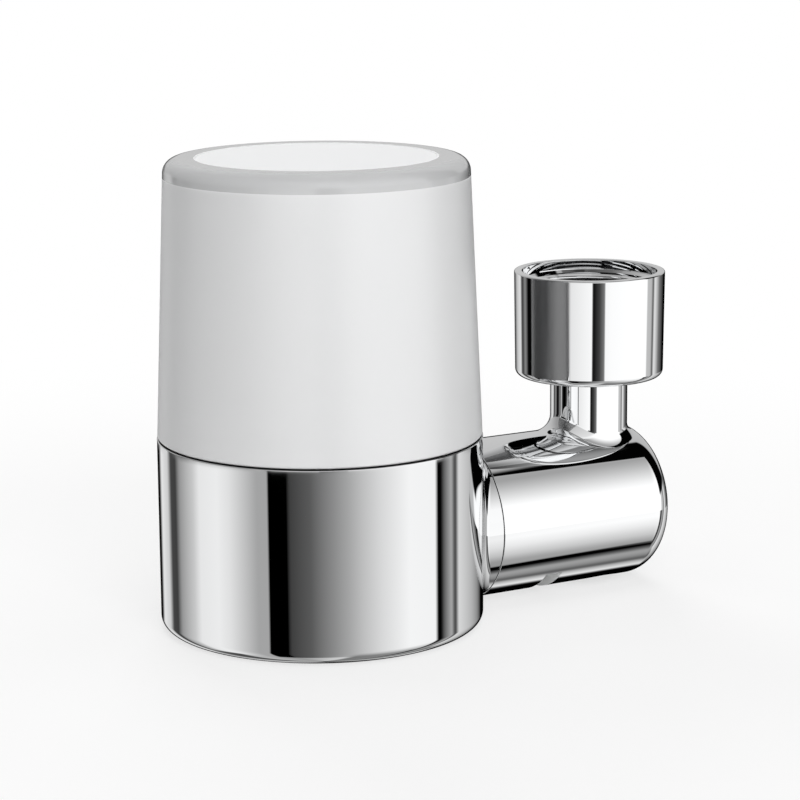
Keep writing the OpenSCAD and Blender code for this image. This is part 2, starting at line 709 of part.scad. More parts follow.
module cartridge_base() {
    color(white_colour) {
        difference() {
            union() {
                translate([0, 0, cartridge_z]) cylinder(r = cartridge_r, h = end_cap_h);
                translate([0, 0, manifold_floor_z + 0.3])
                    cylinder(r = cartridge_spigot_r, h = cartridge_z - manifold_floor_z);
                for (i = [0:3]) rotate([0, 0, 45 + 90 * i])
                    translate([cartridge_r - foot_inset - foot_len, -foot_w / 2, manifold_deck_z + 0.05])
                        cube([foot_len, foot_w, feet_h + 1]);
            }
            translate([0, 0, manifold_floor_z]) cylinder(r = cartridge_spigot_r - spigot_ring_wall, h = base_h);
            translate([0, 0, block_z - 1]) cylinder(r = block_bore_r - seat, h = 2);
            translate([0, 0, manifold_deck_z - socket_ring_z]) groove(socket_r);
        }
    }
}

module carbon_block() {
    color("#2b2b2d") translate([0, 0, block_z + 0.05])
        ring(block_bore_r, cartridge_r - fleece_t - 0.2, block_h - 0.1);
}

module cartridge_fleece() {
    color("#f4f4f2") translate([0, 0, block_z + 0.05])
        ring(cartridge_r - fleece_t - 0.1, cartridge_r - 0.1, block_h - 0.1);
}

module core_tube() {
    core_r = block_bore_r - core_gap;
    color(white_colour) translate([0, 0, block_z - 0.9]) difference() {
        ring(core_r - core_wall, core_r, block_h + 0.8);
        for (k = [1:core_rows]) for (a = [0, 90])
            translate([0, 0, k * block_h / (core_rows + 1)]) rotate([0, 0, a + k * 45]) rotate([0, 90, 0])
                cylinder(r = core_hole_r, h = 3 * core_r, center = true, $fn = 24);
    }
}

// The cartridge's top cap, with the hoop that it is pulled out by.
module cartridge_cap() {
    color(white_colour) translate([0, 0, cap_z]) {
        difference() {
            union() {
                cylinder(r = cartridge_r, h = end_cap_h);
                translate([0, 0, -1]) cylinder(r = block_bore_r - core_gap - core_wall - seat, h = 2);
            }
            translate([0, 0, end_cap_h - cap_dish]) ring(hoop_r + 2, cartridge_r - 2, cap_dish + over);
        }
        intersection() {
            translate([0, hoop_t / 2, end_cap_h + hoop_h - hoop_r]) rotate([90, 0, 0])
                ring(hoop_r - hoop_wall / 2, hoop_r, hoop_t);
            translate([-hoop_r, -hoop_r, end_cap_h - 0.5]) cube([2 * hoop_r, 2 * hoop_r, hoop_h + 0.5]);
        }
    }
}

module cartridge_seals() {
    color(rubber_colour) translate([0, 0, manifold_deck_z - socket_ring_z]) seal_ring(socket_r);
}

module cover_seal() {
    color(rubber_colour) translate([0, 0, spigot_foot_z + spigot_ring_z]) seal_ring(manifold_rim_r);
}

// Half the section of the cover's outside: a steep cone with a rounded top edge.
module cover_outside() {
    lean = sqrt(1 + cover_slope ^ 2);
    edge_z = cover_h - cover_edge_r;
    edge_x = cover_foot_r + cover_slope * edge_z - cover_edge_r * lean;
    polygon([[0, 0], [cover_foot_r, 0],
        [edge_x + cover_edge_r / lean, edge_z - cover_edge_r * cover_slope / lean],
        [edge_x, edge_z], [edge_x, cover_h], [0, cover_h]]);
    translate([edge_x, edge_z]) circle(r = cover_edge_r);
}

module cover() {
    roof_in_r = cover_foot_r + cover_slope * (cover_h - cover_roof) - cover_wall;
    color(cover_colour) translate([0, 0, cover_z]) rotate_extrude() difference() {
        union() {
            cover_outside();
            translate([spigot_r - spigot_wall, -spigot_reach]) square([spigot_wall, spigot_reach + over]);
        }
        polygon([[0, -over], [spigot_r - spigot_wall, -over], [spigot_r - spigot_wall, cover_step_z],
            [cover_foot_r - cover_wall, cover_step_z + cover_widening_h], [roof_in_r, cover_h - cover_roof - 1],
            [roof_in_r - 1, cover_h - cover_roof], [0, cover_h - cover_roof]]);
        translate([manifold_rim_r - ring_gap - ring_t, -spigot_reach + spigot_ring_z - groove_w / 2])
            square([ring_t, groove_w]);
    }
}

base_shell();
manifold();
base_plate();
plate_screws();
outlet_nozzle();
flow_regulator();
outlet_screen();
coupling_sleeve();
sleeve_seals();
port_disc();
tube_shell();
raw_outlet();
diverter_drum();
drum_seals();
diverter_lever();
swivel_collar();
connector_nut();
connector_washer();
inlet_screen();
cartridge_base();
carbon_block();
cartridge_fleece();
core_tube();
cartridge_cap();
cartridge_seals();
cover_seal();
cover();
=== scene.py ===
"""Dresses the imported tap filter: smooth chrome, frosted cover, finishes and studio."""

import logging
import math
from collections.abc import Sequence
from dataclasses import dataclass, field
from enum import Enum

import bpy
from mathutils import Matrix, Vector

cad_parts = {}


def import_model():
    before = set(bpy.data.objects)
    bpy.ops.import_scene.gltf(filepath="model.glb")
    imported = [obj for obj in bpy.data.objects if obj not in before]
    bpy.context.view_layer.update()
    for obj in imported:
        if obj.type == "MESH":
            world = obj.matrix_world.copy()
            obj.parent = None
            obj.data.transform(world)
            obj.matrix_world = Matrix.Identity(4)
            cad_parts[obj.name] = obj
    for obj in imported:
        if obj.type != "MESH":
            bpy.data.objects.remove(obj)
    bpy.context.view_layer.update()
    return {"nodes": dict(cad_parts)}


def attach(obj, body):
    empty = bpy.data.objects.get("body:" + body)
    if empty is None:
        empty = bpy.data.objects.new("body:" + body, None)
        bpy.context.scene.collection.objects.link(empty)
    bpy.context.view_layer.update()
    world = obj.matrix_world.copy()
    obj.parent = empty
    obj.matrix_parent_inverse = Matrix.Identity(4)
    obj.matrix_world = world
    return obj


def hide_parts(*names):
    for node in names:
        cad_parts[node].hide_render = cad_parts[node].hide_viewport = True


log = logging.getLogger("tap_filter")

MM = 0.001
SPUN_SPOT = 2e-6
WOUND_SPOT = 1e-6
GRID_SPOT = 1e-7
RING_SECTIONS = 160

Point = tuple[float, float]
Colour = tuple[float, float, float]
Socket = bpy.types.NodeSocket


class Axis(Enum):
    """The way a turned piece's outline is spun."""

    UP = "up"
    ALONG_TUBE = "along_tube"


class Slot(Enum):
    """Names of the record's material slots; nothing in this script gives them to the pieces that are built
    here.
    """

    CHROME = "chrome"
    FROSTED = "frosted_cover"


def linear(grey: float) -> float:
    """Turns a display grey from 0 to 255 into a linear level."""
    share = grey / 255
    return share / 12.92 if share <= 0.04045 else ((share + 0.055) / 1.055) ** 2.4


# Node helpers


def opaque(colour: Colour, share: float = 1.0) -> tuple[float, float, float, float]:
    """A share of a colour, as a node takes it."""
    return (*(c * share for c in colour), 1)


@dataclass
class Tree:
    """A node tree that is filled node by node."""

    nodes: bpy.types.Nodes
    links: bpy.types.NodeLinks

    @classmethod
    def of(cls, owner: bpy.types.Material | bpy.types.World) -> "Tree":
        """Starts an empty tree on a material or the world."""
        owner.use_nodes = True
        owner.node_tree.nodes.clear()
        return cls(owner.node_tree.nodes, owner.node_tree.links)

    def add(self, kind: str, inputs: dict | None = None, **settings: object) -> bpy.types.Node:
        """Adds a node.

        Args:
            kind: The node's type name.
            inputs: Values or sockets by input name or number.
            settings: Properties of the node itself.

        Returns:
            The new node.
        """
        node = self.nodes.new(kind)
        for name, value in settings.items():
            setattr(node, name, value)
        for key, value in (inputs or {}).items():
            if isinstance(value, bpy.types.NodeSocket):
                self.links.new(value, node.inputs[key])
            else:
                node.inputs[key].default_value = value
        return node

    def math(self, operation: str, *values: object) -> Socket:
        """Adds a Math node on values or sockets, and returns its result."""
        return self.add("ShaderNodeMath", dict(enumerate(values)), operation=operation).outputs[0]

    def mixed(self, share: object, one: object, two: object, blend: str = "MIX") -> Socket:
        """Mixes two colours, and returns the result."""
        return self.add(
            "ShaderNodeMix", {0: share, 6: one, 7: two}, data_type="RGBA", blend_type=blend).outputs[2]

    def ranged(self, value: Socket, inputs: Point, results: Point = (0.0, 1.0),
               smooth: bool = False) -> Socket:
        """Maps a value from one range to another, and returns it."""
        kind = "SMOOTHSTEP" if smooth else "LINEAR"
        return self.add("ShaderNodeMapRange", {
            0: value, 1: inputs[0], 2: inputs[1], 3: results[0], 4: results[1]},
            interpolation_type=kind).outputs[0]

    def noise(self, place: Socket, scale: float, detail: float) -> Socket:
        """Adds a noise texture, and returns its level."""
        return self.add("ShaderNodeTexNoise", {"Vector": place, "Scale": scale, "Detail": detail}).outputs[0]

    def stretched(self, place: Socket, scale: Colour) -> Socket:
        """Scales coordinates along each axis, and returns them."""
        return self.add("ShaderNodeMapping", {0: place, "Scale": scale}).outputs[0]

    def relief(self, height: Socket, strength: float, distance: float) -> Socket:
        """Turns a height into a bumped normal, and returns it."""
        return self.add("ShaderNodeBump", {
            "Height": height, "Strength": strength, "Distance": distance}).outputs[0]

    def ramp(self, value: Socket, stops: Sequence[Point]) -> Socket:
        """Adds a grey colour ramp with stops of place and level, and returns its colour."""
        node = self.add("ShaderNodeValToRGB", {0: value})
        elements = node.color_ramp.elements
        while len(elements) < len(stops):
            elements.new(0.5)
        for element, (place, _) in zip(elements, stops):
            element.position = place
        for element, (_, level) in zip(elements, stops):
            element.color = (level, level, level, 1)
        return node.outputs[0]


@dataclass
class Surface:
    """A material while it is built: its tree and the object's own coordinates."""

    material: bpy.types.Material
    tree: Tree
    place: Socket

    @classmethod
    def named(cls, name: str) -> "Surface":
        """Starts a material."""
        material = bpy.data.materials.new(name)
        tree = Tree.of(material)
        return cls(material, tree, tree.add("ShaderNodeTexCoord").outputs["Object"])

    def shaded(self, inputs: dict) -> bpy.types.Material:
        """Ends the tree with a Principled shader, and returns the material."""
        shader = self.tree.add("ShaderNodeBsdfPrincipled", inputs)
        self.tree.add("ShaderNodeOutputMaterial", {0: shader.outputs[0]})
        return self.material


# Finishes


@dataclass(frozen=True)
class Finish:
    """A moulded or plated surface: a base colour mottled by fine noise, with a little bump."""

    name: str
    colour: Colour
    roughness: float
    metallic: float = 0.0
    mottle: float = 0.03
    grain: float = 900.0
    bump: float = 0.02
    depth: float = 0.0002
    spread: float = 0.15
    coat: float = 0.0
    coat_roughness: float = 0.05

    def make(self) -> bpy.types.Material:
        """Builds the finish as a material."""
        surface = Surface.named(self.name)
        tree = surface.tree
        noise = tree.noise(surface.place, self.grain, 4.0)
        rough = (self.roughness * (1 - self.spread), self.roughness * (1 + self.spread))
        inputs = {
            "Base Color": tree.mixed(noise, opaque(self.colour, 1 - self.mottle), opaque(self.colour)),
            "Roughness": tree.ranged(noise, (0.0, 1.0), rough), "Metallic": self.metallic,
            "Coat Weight": self.coat, "Coat Roughness": self.coat_roughness}
        if self.bump:
            inputs["Normal"] = tree.relief(noise, self.bump, self.depth)
        return surface.shaded(inputs)


@dataclass(frozen=True)
class FrostedWall:
    """The cover's wall: frosted white with a satin outside, painted dark grey for reflection rays only, a
    painted shade that chrome mirrors as dark grey.
    """

    name: str = "frosted_wall_painted_reflection_shade"
    colour: Colour = (0.83, 0.835, 0.84)
    # Painted reflection shade: the wall's colour as reflection rays see it, not its own colour.
    painted_reflection_grey: Colour = (0.055, 0.056, 0.058)
    cloud: float = 60.0
    cloud_share: float = 0.985
    frost: float = 2600.0
    bump: float = 0.12
    depth: float = 0.00005
    roughness: float = 0.37
    density: float = 2.6

    def make(self) -> bpy.types.Material:
        """Builds the frosted wall's material."""
        surface = Surface.named(self.name)
        tree = surface.tree
        cloud = tree.noise(surface.place, self.cloud, 2.0)
        frost = tree.noise(surface.place, self.frost, 2.0)
        milk = tree.mixed(cloud, opaque(self.colour, self.cloud_share), opaque(self.colour))
        # Painted shade: reflection rays see the wall dark grey instead of white, so chrome mirrors a painted
        # dark cover.
        painted_shade_ray_mask = tree.add("ShaderNodeLightPath").outputs["Is Glossy Ray"]
        return surface.shaded({
            "Base Color": tree.mixed(painted_shade_ray_mask, milk, opaque(self.painted_reflection_grey)), "Roughness": self.roughness,
            "Normal": tree.relief(frost, self.bump, self.depth), "IOR": self.density})


@dataclass(frozen=True)
class SteelSheet:
    """Brushed steel sheet with fine streaks."""

    name: str = "steel_sheet"
    colour: Colour = (0.56, 0.57, 0.59)
    streaks: Colour = (60.0, 2400.0, 2400.0)
    roughness: Point = (0.22, 0.42)
    bump: float = 0.08
    depth: float = 0.0001

    def make(self) -> bpy.types.Material:
        """Builds the brushed steel."""
        surface = Surface.named(self.name)
        tree = surface.tree
        streak = tree.noise(tree.stretched(surface.place, self.streaks), 1.0, 3.0)
        return surface.shaded({
            "Base Color": opaque(self.colour), "Metallic": 1.0,
            "Roughness": tree.ranged(streak, (0.0, 1.0), self.roughness),
            "Normal": tree.relief(streak, self.bump, self.depth)})


@dataclass(frozen=True)
class PressedCarbon:
    """Pressed carbon granules, near black with a dull sparkle."""

    name: str = "pressed_carbon"
    grains: float = 1500.0
    shades: tuple[Point, ...] = ((0.0, 0.05), (0.6, 0.022), (1.0, 0.012))
    roughness: float = 0.75
    bump: float = 0.5
    depth: float = 0.0002

    def make(self) -> bpy.types.Material:
        """Builds the carbon block's material."""
        surface = Surface.named(self.name)
        tree = surface.tree
        grains = tree.add("ShaderNodeTexVoronoi", {"Vector": surface.place, "Scale": self.grains}).outputs[0]
        return surface.shaded({
            "Base Color": tree.ramp(grains, self.shades), "Roughness": self.roughness,
            "Normal": tree.relief(grains, self.bump, self.depth)})


@dataclass(frozen=True)
class Fleece:
    """White non-woven fleece: crossed fibres with soft sheen."""

    name: str = "fleece_fibres"
    upright: Colour = (3000.0, 3000.0, 300.0)
    across: Colour = (300.0, 900.0, 3000.0)
    shades: tuple[Point, ...] = ((0.3, 0.62), (0.6, 0.86))
    roughness: float = 0.9
    sheen: float = 0.3
    bump: float = 0.4
    depth: float = 0.0002

    def make(self) -> bpy.types.Material:
        """Builds the fleece's material."""
        surface = Surface.named(self.name)
        tree = surface.tree
        fibres = [tree.noise(tree.stretched(surface.place, way), 1.0, 3.0)
                  for way in (self.upright, self.across)]
        mat = tree.math("MAXIMUM", *fibres)
        return surface.shaded({
            "Base Color": tree.ramp(mat, self.shades), "Roughness": self.roughness,
            "Sheen Weight": self.sheen, "Normal": tree.relief(mat, self.bump, self.depth)})


# Copies of one chrome with painted reflection brightness: the tube mirrors the panels a little brighter than
# the nut does, and the base a little darker.
PLATING = dict(roughness=0.012, metallic=1.0, mottle=0.01, grain=40.0, bump=0.0)
CHROME = Finish("bright_chrome", (0.93, 0.935, 0.94), **PLATING)
# Painted shade: the base's copy of the chrome is darker.
SHADED_BASE_CHROME = Finish("shaded_base_chrome", (0.885, 0.89, 0.895), **PLATING)
# Painted highlight: the tube's copy of the chrome is brighter.
BRIGHTENED_TUBE_CHROME = Finish("brightened_tube_chrome", (0.98, 0.985, 0.99), **PLATING)
WHITE = Finish("white_moulding", (0.86, 0.865, 0.86), 0.38, grain=700.0, bump=0.05)
RUBBER = Finish("black_rubber", (0.028, 0.028, 0.03), 0.62, mottle=0.25, grain=1300.0, bump=0.15)
CERAMIC = Finish("ground_ceramic", (0.85, 0.83, 0.79), 0.24, mottle=0.04, grain=1100.0, bump=0.03)
# Painted shade: the clear edge is an opaque grey that stands in for the shaded inside seen through clear
# plastic.
SHADED_CLEAR_EDGE = Finish("clear_edge_painted_shade", (0.60, 0.605, 0.61), 0.10, mottle=0.02, grain=80.0, bump=0.0, coat=1.0)
# The disc's own frosted white; on the line at the clear edge's shoulder it is a painted highlight.
TOP_WHITE_AND_LINE_HIGHLIGHT = Finish("top_white_and_painted_highlight", (0.87, 0.875, 0.88), 0.55, mottle=0.01, grain=60.0, bump=0.0)


# Mesh helpers


def arc(centre: Point, radius: float, start: float, end: float, steps: int) -> list[Point]:
    """Points of an arc in an outline's plane, angles in degrees from outwards towards up."""
    turns = [math.radians(start + (end - start) * i / steps) for i in range(steps + 1)]
    return [(centre[0] + radius * math.cos(t), centre[1] + radius * math.sin(t)) for t in turns]


def only(obj: bpy.types.Object) -> None:
    """Makes an object the only selected one, and the active one."""
    bpy.ops.object.select_all(action="DESELECT")
    obj.select_set(True)
    bpy.context.view_layer.objects.active = obj


def drawn(name: str, outline: list[Point]) -> bpy.types.Object:
    """Draws an outline by extruding a point, and stays in edit mode.

    Args:
        name: The piece's name.
        outline: Radius and height of each point, in mm.

    Returns:
        The outline, as a line of edges.
    """
    bpy.ops.object.select_all(action="DESELECT")
    bpy.ops.mesh.primitive_plane_add(size=MM, location=(0, 0, 0))
    piece = bpy.context.object
    piece.name = piece.data.name = name
    bpy.ops.object.mode_set(mode="EDIT")
    bpy.ops.mesh.merge(type="CENTER")
    here = Vector((outline[0][0], 0, outline[0][1])) * MM
    bpy.ops.transform.translate(value=here)
    for r, h in outline[1:]:
        there = Vector((r, 0, h)) * MM
        bpy.ops.mesh.extrude_region_move(TRANSFORM_OT_translate={"value": there - here})
        here = there
    return piece


def settle(piece: bpy.types.Object, centre: Vector, axis: Axis = Axis.UP) -> None:
    """Places a piece, and puts the place into its mesh."""
    if axis is Axis.ALONG_TUBE:
        piece.rotation_euler = (-math.pi / 2, 0, 0)
    piece.location = centre * MM
    only(piece)
    bpy.ops.object.transform_apply(location=True, rotation=True, scale=True)


def spun(name: str, outline: list[Point], axis: Axis = Axis.UP, centre: Vector | None = None,
         steps: int = 256) -> bpy.types.Object:
    """Draws an outline, and spins it into a turned piece.

    Args:
        name: The piece's name.
        outline: Radius and height of each point, in mm. The last one joins the first.
        axis: Whether the piece stands up or lies along the tube.
        centre: The point that the outline's zero stands on, in mm.
        steps: Number of faces round the piece.

    Returns:
        The turned piece, placed, with its place in its mesh.
    """
    piece = drawn(name, outline)
    bpy.ops.object.mode_set(mode="OBJECT")
    points = piece.data.vertices
    for i in (0, len(points) - 1):
        points[i].select = True
    bpy.ops.object.mode_set(mode="EDIT")
    bpy.ops.mesh.edge_face_add()
    bpy.ops.mesh.select_all(action="SELECT")
    bpy.ops.mesh.spin(steps=steps, angle=2 * math.pi, center=(0, 0, 0), axis=(0, 0, 1))
    bpy.ops.mesh.select_all(action="SELECT")
    bpy.ops.mesh.remove_doubles(threshold=SPUN_SPOT)
    bpy.ops.mesh.normals_make_consistent(inside=False)
    bpy.ops.object.mode_set(mode="OBJECT")
    settle(piece, centre or Vector(), axis)
    return piece


def cut(piece: bpy.types.Object, tool: bpy.types.Object) -> None:
    """Cuts a tool's shape out of a piece, and removes the tool."""
    only(piece)
    hole = piece.modifiers.new("cut", "BOOLEAN")
    hole.operation, hole.solver, hole.object = "DIFFERENCE", "EXACT", tool
    bpy.ops.object.modifier_apply(modifier=hole.name)
    bpy.data.objects.remove(tool)


def rod(radius: float, low: Vector, length: float, along: Axis = Axis.UP) -> bpy.types.Object:
    """A plain rod that cuts a hole, from its lower end, in mm."""
    turn = (0, 0, 0) if along is Axis.UP else (-math.pi / 2, 0, 0)
    middle = low + (Vector((0, 0, length / 2)) if along is Axis.UP else Vector((0, length / 2, 0)))
    bpy.ops.object.select_all(action="DESELECT")
    bpy.ops.mesh.primitive_cylinder_add(
        vertices=128, radius=radius * MM, depth=length * MM, location=middle * MM, rotation=turn)
    return bpy.context.object


def soften(piece: bpy.types.Object, sharp: float = 32.0) -> None:
    """Shades a piece smooth up to an angle, with normals that lean on its large faces."""
    only(piece)
    bpy.ops.object.shade_smooth_by_angle(angle=math.radians(sharp))
    even = piece.modifiers.new("even", "WEIGHTED_NORMAL")
    even.keep_sharp = True
    bpy.ops.object.modifier_apply(modifier=even.name)


def dress(piece: bpy.types.Object, *materials: bpy.types.Material) -> None:
    """Gives a piece its materials, in the order of its faces' numbers."""
    piece.data.materials.clear()
    for material in materials:
        piece.data.materials.append(material)


def joined(name: str, parts: list[bpy.types.Object]) -> bpy.types.Object:
    """Joins parts into one piece."""
    only(parts[0])
    for part in parts:
        part.select_set(True)
    bpy.ops.object.join()
    parts[0].name = parts[0].data.name = name
    return parts[0]


@dataclass(frozen=True)
class Section:
    """One section of a rolling-ball blend: the ball's centre and its two contact directions."""

    centre: Vector
    radius: float
    first: Vector
    second: Vector

    def at(self, share: float) -> Vector:
        """The point at a share of the arc from the first contact."""
        swing = self.first.angle(self.second)
        one, two = math.sin((1 - share) * swing), math.sin(share * swing)
        return self.centre + (self.first * one + self.second * two) / math.sin(swing) * self.radius


def blend_ring(name: str, sections: list[Section], across: int = 28) -> bpy.types.Object:
    """Lays a grid over a ring of blend sections.

    Args:
        name: The ring's name.
        sections: The sections in order round the ring.
        across: Number of faces across each arc.

    Returns:
        The ring, with the blend's true normals.
    """
    count = len(sections)
    bpy.ops.object.select_all(action="DESELECT")
    bpy.ops.mesh.primitive_grid_add(x_subdivisions=across, y_subdivisions=count, size=1, location=(0, 0, 0))
    ring = bpy.context.object
    ring.name = ring.data.name = name
    for point in ring.data.vertices:
        share, turn = point.co.x + 0.5, round((point.co.y + 0.5) * count) % count
        point.co = sections[turn].at(share) * MM
    only(ring)
    bpy.ops.object.mode_set(mode="EDIT")
    bpy.ops.mesh.select_all(action="SELECT")
    bpy.ops.mesh.remove_doubles(threshold=GRID_SPOT)
    bpy.ops.object.mode_set(mode="OBJECT")
    facing = ring.data.polygons[0]
    middle = min(sections, key=lambda s: (s.centre * MM - facing.center).length)
    if facing.normal.dot(middle.centre * MM - facing.center) < 0:
        ring.data.flip_normals()
    bpy.ops.object.shade_smooth()
    normals = []
    for point in ring.data.vertices:
        # The section whose arc the point is on. The small second share settles a tie.
        near = min(sections, key=lambda s: abs((s.centre * MM - point.co).length - s.radius * MM)
                   + (s.centre * MM - point.co).length * 0.001)
        normals.append((near.centre * MM - point.co).normalized())
    ring.data.normals_split_custom_set_from_vertices(normals)
    return ring


# Sub-assemblies


@dataclass
class BaseHousing:
    """The round chrome base with its foot ring and the boss that carries the tube, in mm."""

    radius: float = 35.0
    height: float = 41.3
    wall: float = 2.4
    foot_wall: float = 4.4
    foot_height: float = 6.0
    edge: float = 2.5
    tube_radius: float = 17.5
    tube_bore: float = 15.1
    axis_height: float = 17.8
    boss_root: float = 27.6
    boss_face: float = 35.7
    bore_from: float = 14.0
    bore_length: float = 30.0
    chamfer: float = 0.3
    top_edge: float = 0.2
    joint_edge: float = 0.12
    fillet: float = 3.5
    least_fillet: float = 0.25
    face_gap: float = 0.1
    bite: float = 0.012

    def body(self) -> bpy.types.Object:
        """Turns the base's body and bores it for the tube."""
        inner, foot = self.radius - self.wall, self.radius - self.foot_wall
        outline = [(foot, self.chamfer), (foot + self.chamfer, 0), (self.radius - self.edge, 0)]
        outline += arc((self.radius - self.edge, self.edge), self.edge, -90, 0, 20)[1:]
        outline += arc((self.radius - self.top_edge, self.height - self.top_edge), self.top_edge, 0, 90, 5)
        outline += [(inner, self.height), (inner, self.foot_height), (foot, self.foot_height)]
        body = spun("base_body", outline)
        hole_start = Vector((0, self.bore_from, self.axis_height))
        cut(body, rod(self.tube_bore, hole_start, self.bore_length, Axis.ALONG_TUBE))
        soften(body)
        return body

    def boss(self) -> bpy.types.Object:
        """Turns the boss, a short sleeve from the base's wall to the joint line."""
        length, edge = self.boss_face - self.boss_root, self.joint_edge
        outline = [(self.tube_bore, 0), (self.tube_radius, 0)]
        outline += arc((self.tube_radius - edge, length - edge), edge, 0, 90, 4)
        outline += [(self.tube_bore, length)]
        boss = spun("boss", outline, Axis.ALONG_TUBE, Vector((0, self.boss_root, self.axis_height)))
        soften(boss)
        return boss

    def ball(self, turn: float) -> float:
        """Radius of the ball that rolls round the boss, at an angle in radians.

        It is the fillet, or less where the ball would pass the boss's face or the base's lower edge.
        """
        tube, base = self.tube_radius, self.radius
        a = math.sin(turn) ** 2
        b = base - tube * math.cos(turn) ** 2
        c = base ** 2 - (tube * math.cos(turn)) ** 2 - (self.boss_face - self.face_gap) ** 2
        room = -c / (b + math.sqrt(b * b - a * c))
        under = self.fillet
        if math.sin(turn) < 0:
            under = max(self.least_fillet, (self.axis_height - self.edge) / -math.sin(turn) - tube)
        return min(self.fillet, room, under)

    def blend(self) -> bpy.types.Object:
        """Lays the blend between the boss and the base."""
        sections = []
        for i in range(RING_SECTIONS):
            turn = 2 * math.pi * i / RING_SECTIONS
            r = self.ball(turn)
            reach = self.tube_radius + r - self.bite
            x = reach * math.cos(turn)
            y = math.sqrt((self.radius + r - self.bite) ** 2 - x * x)
            centre = Vector((x, y, self.axis_height + reach * math.sin(turn)))
            sections.append(Section(centre, r, Vector((-math.cos(turn), 0, -math.sin(turn))),
                                    Vector((-x, -y, 0)).normalized()))
        return blend_ring("boss_blend", sections)

    def build(self, chrome: bpy.types.Material) -> bpy.types.Object:
        """Builds the housing as one piece on the base body."""
        piece = joined("base_housing", [self.body(), self.boss(), self.blend()])
        dress(piece, chrome)
        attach(piece, "base")
        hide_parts("base_shell")
        return piece


@dataclass
class DiverterTube:
    """The level chrome tube with its domed end, lever slot, spray hole and neck, in mm."""

    radius: float = 17.5
    bore: float = 15.1
    axis_height: float = 17.8
    start: float = 35.9
    end: float = 82.0
    end_wall: float = 4.0
    dome: float = 6.4
    slot_middle: float = 51.6
    slot_width: float = 4.2
    slot_from: float = 42.0
    slot_to: float = 199.3
    slot_skin: float = 0.3
    slot_margin: float = 0.1
    neck_place: float = 69.0
    neck_radius: float = 8.75
    neck_bore: float = 5.0
    neck_tip: float = 7.55
    neck_top: float = 50.1
    tip_top: float = 52.6
    spray_hole: float = 7.0
    spray_from: float = -2.0
    spray_length: float = 11.8
    water_way_from: float = 25.8
    water_way: float = 20.0
    neck_root: float = 33.0
    joint_edge: float = 0.12
    fillet: float = 4.0
    far_fillet: float = 1.8
    bite: float = 0.012

    def body(self) -> bpy.types.Object:
        """Turns the tube, opens the slot, and cuts the spray hole and the neck's water way."""
        low, high = self.slot_middle - self.slot_width / 2, self.slot_middle + self.slot_width / 2
        bend, edge = self.end - self.dome, self.joint_edge
        outline = [(self.bore, 0)]
        outline += arc((self.radius - edge, edge), edge, -90, 0, 4)
        outline += [(self.radius, low - self.start), (self.radius, high - self.start)]
        outline += arc((self.radius - self.dome, bend - self.start), self.dome, 0, 90, 40)
        outline += [(0, self.end - self.start), (0, self.end - self.end_wall - self.start),
                    (self.bore, self.end - self.end_wall - self.start),
                    (self.bore, high - self.start), (self.bore, low - self.start)]
        body = spun("tube_body", outline, Axis.ALONG_TUBE, Vector((0, self.start, self.axis_height)))
        self.open_slot(body, low, high)
        cut(body, rod(self.spray_hole, Vector((0, self.neck_place, self.spray_from)), self.spray_length))
        cut(body, rod(self.neck_bore, Vector((0, self.neck_place, self.water_way_from)), self.water_way))
        soften(body)
        return body

    def open_slot(self, body: bpy.types.Object, low: float, high: float) -> None:
        """Opens the slot through the wall by deleting its faces and bridging the two rims."""
        mesh = body.data
        for item in (*mesh.vertices, *mesh.edges, *mesh.polygons):
            item.select = False
        for face in mesh.polygons:
            x, y, z = face.center / MM
            turn = math.degrees(math.atan2(self.axis_height - z, x)) % 360
            face.select = low < y < high and self.slot_from < turn < self.slot_to
        only(body)
        bpy.ops.object.mode_set(mode="EDIT")
        bpy.ops.mesh.select_mode(type="FACE")
        bpy.ops.mesh.delete(type="FACE")
        bpy.ops.mesh.select_mode(type="EDGE")
        bpy.ops.mesh.select_non_manifold(extend=False, use_wire=False, use_boundary=True,
                                         use_multi_face=False, use_non_contiguous=False, use_verts=False)
        bpy.ops.mesh.bridge_edge_loops()
        bpy.ops.mesh.select_mode(type="VERT")
        bpy.ops.object.mode_set(mode="OBJECT")

    def neck(self) -> bpy.types.Object:
        """Turns the neck that carries the nut."""
        root = self.neck_root
        outline = [(self.neck_bore, root), (self.neck_radius, root), (self.neck_radius, self.neck_top),
                   (self.neck_tip, self.neck_top), (self.neck_tip, self.tip_top),
                   (self.neck_bore, self.tip_top)]
        neck = spun("neck", outline, Axis.UP, Vector((0, self.neck_place, 0)), steps=192)
        soften(neck)
        return neck

    def section(self, turn: float) -> Section:
        """One section of the neck's blend, at an angle in radians."""
        far = max(0.0, math.sin(turn)) ** 2
        r = self.fillet * (1 - far) + self.far_fillet * far
        reach = self.neck_radius + r - self.bite
        bend = self.end - self.dome
        x, y = reach * math.cos(turn), self.neck_place + reach * math.sin(turn)
        on_dome = y > bend
        rho = self.radius + r - self.bite
        if on_dome:
            rho = self.radius - self.dome + math.sqrt((self.dome + r - self.bite) ** 2 - (y - bend) ** 2)
        rise = math.sqrt(rho * rho - x * x)
        centre = Vector((x, y, self.axis_height + rise))
        hub = self.radius - self.dome if on_dome else 0.0
        towards = Vector((hub * x / rho, bend if on_dome else y, self.axis_height + hub * rise / rho))
        to_neck = Vector((-math.cos(turn), -math.sin(turn), 0))
        return Section(centre, r, to_neck, (towards - centre).normalized())

    def build(self, chrome: bpy.types.Material, white: bpy.types.Material) -> bpy.types.Object:
        """Builds the tube as one piece on the base body, its slot's walls bare white plastic."""
        ring = blend_ring("neck_blend", [
            self.section(2 * math.pi * i / RING_SECTIONS) for i in range(RING_SECTIONS)])
        piece = joined("diverter_tube", [self.body(), self.neck(), ring])
        dress(piece, chrome, white)
        deepest = self.radius - self.bore - self.slot_margin
        for face in piece.data.polygons:
            x, y, z = face.center / MM
            depth = self.radius - math.hypot(x, z - self.axis_height)
            if abs(y - self.slot_middle) < self.slot_width and self.slot_skin < depth < deepest:
                face.material_index = 1
        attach(piece, "base")
        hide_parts("tube_shell")
        return piece


